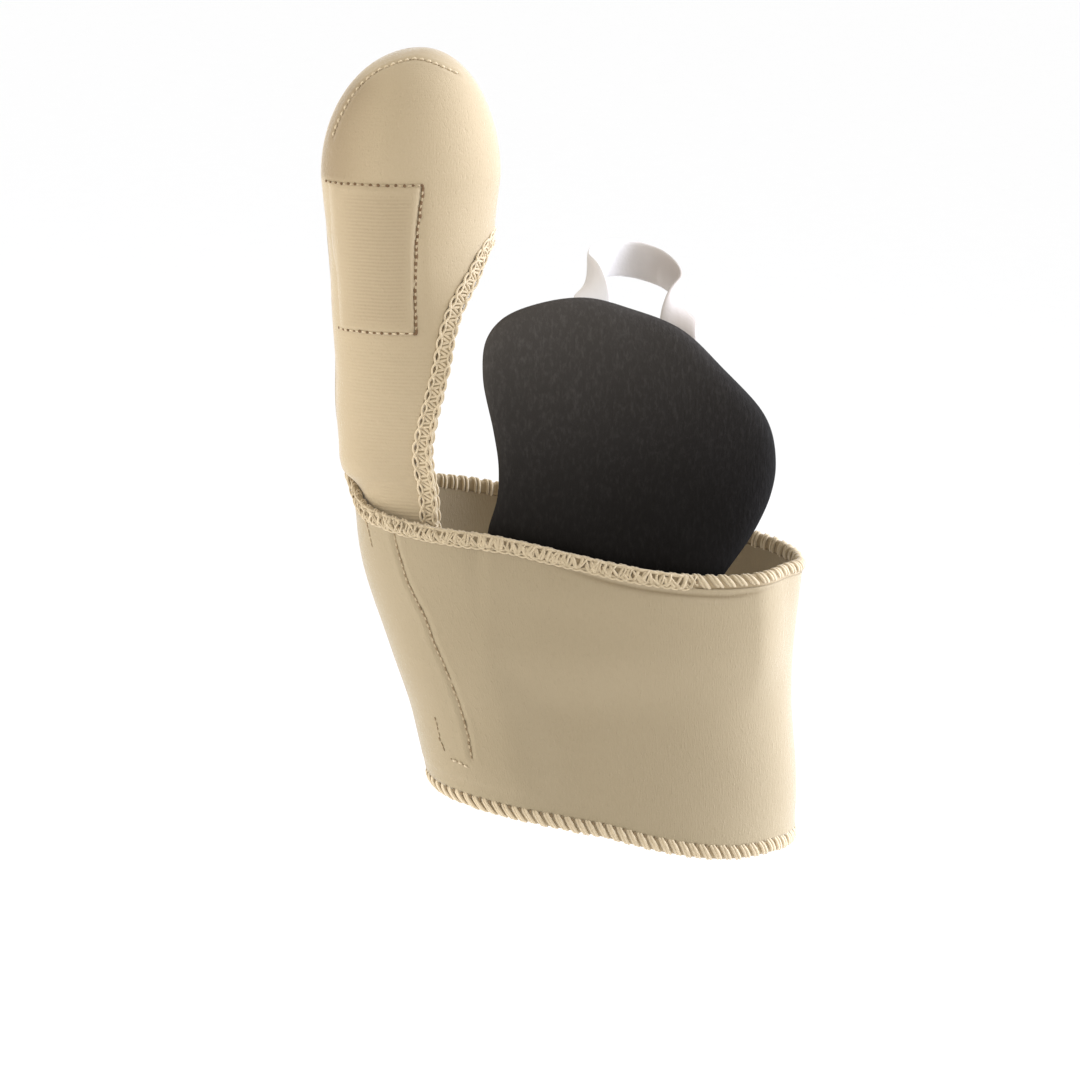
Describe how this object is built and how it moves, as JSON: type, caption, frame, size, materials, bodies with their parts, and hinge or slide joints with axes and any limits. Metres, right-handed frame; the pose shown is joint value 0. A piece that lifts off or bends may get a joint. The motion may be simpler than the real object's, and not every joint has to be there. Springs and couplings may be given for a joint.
{
  "type": "bunion corrector",
  "caption": "Stretch-knit bunion corrector for a left foot: closed big-toe sleeve, elastic midfoot band, black forefoot pad and soft toe loop, in its worn shape.",
  "frame": {"origin": "middle of the hollow that the midfoot fills, inside the band", "axes": "+Z along the foot towards the toes, -Y out of the sole side, -X towards the big toe's side"},
  "size_m": [0.1012, 0.061, 0.1679],
  "materials": {
    "knit": "matte fine knit",
    "ribbed_knit": "matte fine ribs",
    "edging": "matte overlock thread",
    "pad": "matte brushed cloth",
    "loop": "smooth soft strap"
  },
  "bodies": {
    "root": {"toe_sleeve": "knit", "toe_opening_edging": "edging", "toe_pocket": "ribbed_knit", "midfoot_band": "knit", "band_top_edging": "edging", "band_bottom_edging": "edging", "forefoot_pad": "pad", "toe_loop": "loop"}
  },
  "joints": []
}
